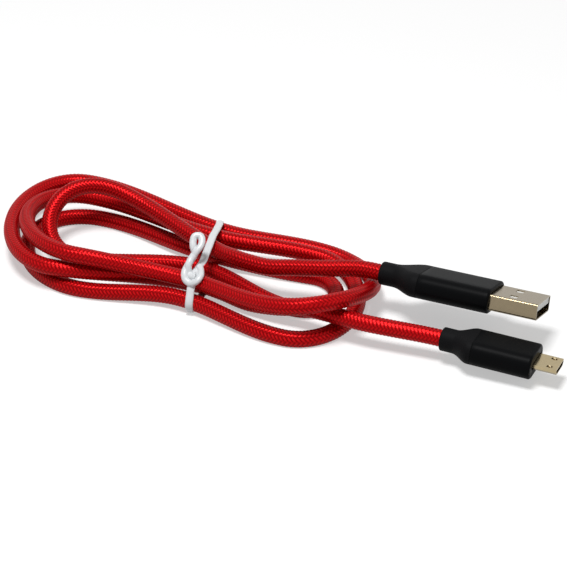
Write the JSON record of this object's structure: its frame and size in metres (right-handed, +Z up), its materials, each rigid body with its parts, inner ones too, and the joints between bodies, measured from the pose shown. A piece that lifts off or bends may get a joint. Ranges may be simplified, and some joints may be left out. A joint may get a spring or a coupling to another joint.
{
  "type": "charging cable",
  "caption": "Braided charging cable from USB-A to micro-USB, wound into a flat hank and held at the waist by a twist tie, with moulded plugs and tapered boots.",
  "frame": {"origin": "middle of the bounding box, on the table the hank lies on", "axes": "+X along the hank towards the plugs, +Y across it, +Z up"},
  "size_m": [0.1726, 0.0634, 0.0187],
  "materials": {
    "braid_red": "glossy woven braid",
    "boot_black": "matt",
    "housing_black": "satin",
    "mould_natural": "plain",
    "shell_champagne": "plated, bright",
    "shell_gold": "plated, bright",
    "insulator_white": "plain",
    "insulator_black": "plain",
    "contact_gold": "plated",
    "spring_steel": "plated",
    "core_dark": "plain",
    "wire_red": "plain",
    "wire_white": "plain",
    "wire_green": "plain",
    "wire_black": "plain",
    "tie_white": "smooth",
    "tie_steel": "plain"
  },
  "bodies": {
    "cable": {"cord_hank": "braid_red", "cord_lead_usb_a": "braid_red", "cord_lead_micro_usb": "braid_red", "usb_a_boot": "boot_black", "usb_a_housing": "housing_black", "usb_a_inner_mould": "mould_natural", "usb_a_shell": "shell_champagne", "usb_a_insulator": "insulator_white", "usb_a_contact_1": "contact_gold", "usb_a_contact_2": "contact_gold", "usb_a_contact_3": "contact_gold", "usb_a_contact_4": "contact_gold", "usb_a_cable_core": "core_dark", "usb_a_wire_red": "wire_red", "usb_a_wire_white": "wire_white", "usb_a_wire_green": "wire_green", "usb_a_wire_black": "wire_black", "micro_usb_boot": "boot_black", "micro_usb_housing": "housing_black", "micro_usb_inner_mould": "mould_natural", "micro_usb_shell": "shell_gold", "micro_usb_insulator": "insulator_black", "micro_usb_tail_1": "contact_gold", "micro_usb_tail_2": "contact_gold", "micro_usb_tail_3": "contact_gold", "micro_usb_tail_4": "contact_gold", "micro_usb_tail_5": "contact_gold", "micro_usb_cable_core": "core_dark", "micro_usb_wire_red": "wire_red", "micro_usb_wire_white": "wire_white", "micro_usb_wire_green": "wire_green", "micro_usb_wire_black": "wire_black", "twist_tie_strip": "tie_white", "twist_tie_twist": "tie_white", "twist_tie_wire": "tie_steel"},
    "contact_row": {"micro_usb_contact_1": "contact_gold", "micro_usb_contact_2": "contact_gold", "micro_usb_contact_3": "contact_gold", "micro_usb_contact_4": "contact_gold", "micro_usb_contact_5": "contact_gold"},
    "latch_left": {"micro_usb_latch_left": "spring_steel"},
    "latch_right": {"micro_usb_latch_right": "spring_steel"}
  },
  "joints": [
    {"name": "contact_row_spring", "type": "hinge", "parent": "cable", "child": "contact_row", "pos_m": [0.08153, -0.02574, 0.00547], "axis": [0.0807, 0.9961, -0.0349], "range_deg": [0, 2.5], "stiffness_Nm_per_rad": 0.1},
    {"name": "latch_left_spring", "type": "hinge", "parent": "cable", "child": "latch_left", "pos_m": [0.08173, -0.02353, 0.00597], "axis": [0.0807, 0.9961, -0.0349], "range_deg": [0, 6], "stiffness_Nm_per_rad": 0.05},
    {"name": "latch_right_spring", "type": "hinge", "parent": "cable", "child": "latch_right", "pos_m": [0.08137, -0.02791, 0.00612], "axis": [0.0807, 0.9961, -0.0349], "range_deg": [0, 6], "stiffness_Nm_per_rad": 0.05}
  ]
}
